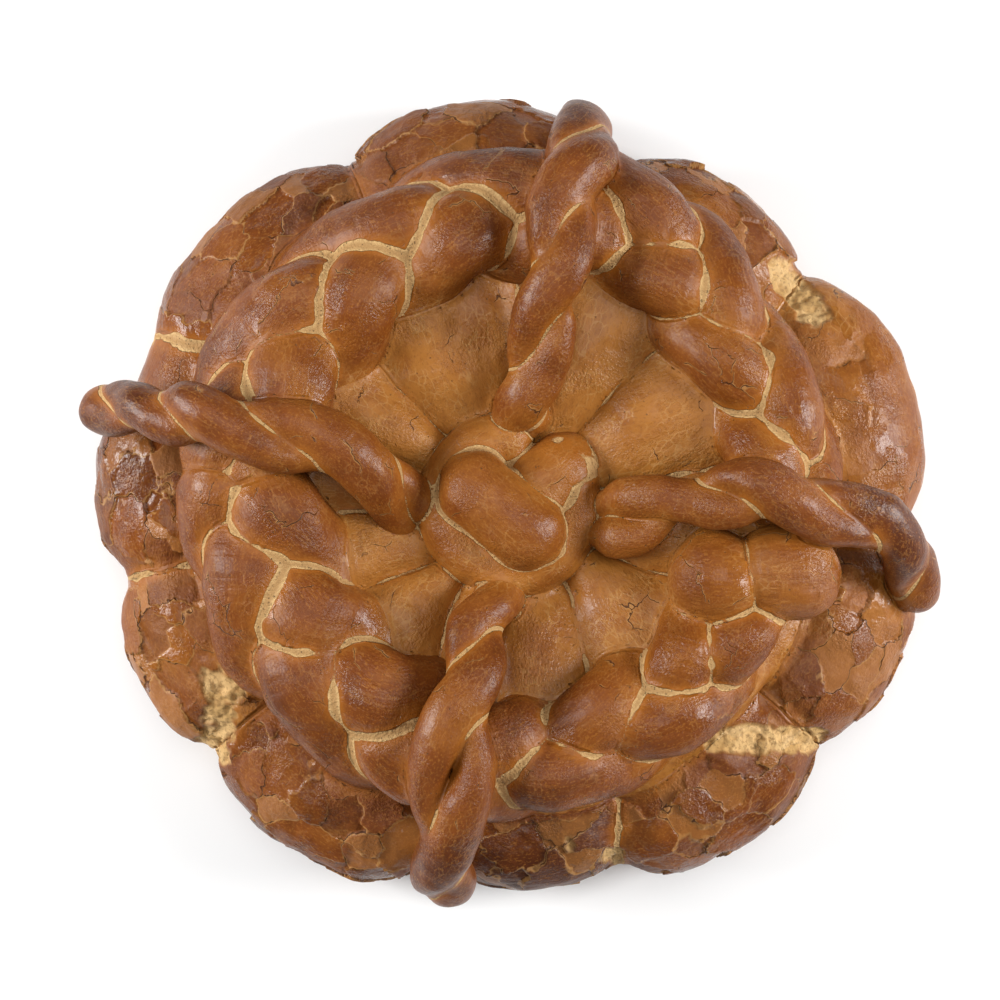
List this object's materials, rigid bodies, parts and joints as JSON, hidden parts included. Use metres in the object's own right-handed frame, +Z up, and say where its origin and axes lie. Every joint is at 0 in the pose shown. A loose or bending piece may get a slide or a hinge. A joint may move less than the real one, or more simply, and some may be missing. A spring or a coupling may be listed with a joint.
{
  "type": "braided loaf",
  "caption": "Large round festive loaf of glossy brown bread: a ring of braids over fat rim lobes, crossed by twisted ropes of dough that meet at a knotted middle.",
  "frame": {"origin": "under the middle of the loaf's outline, on the flat baked underside", "axes": "+Z up through the crust, +X towards the rope that hangs over the right side in the plan view, +Y towards the rope that hangs over the far side"},
  "size_m": [0.4241, 0.4054, 0.1196],
  "materials": {
    "crust": "glossy egg-washed brown crust with pale seams and flaked patches"
  },
  "bodies": {
    "root": {"loaf": "crust"}
  },
  "joints": []
}
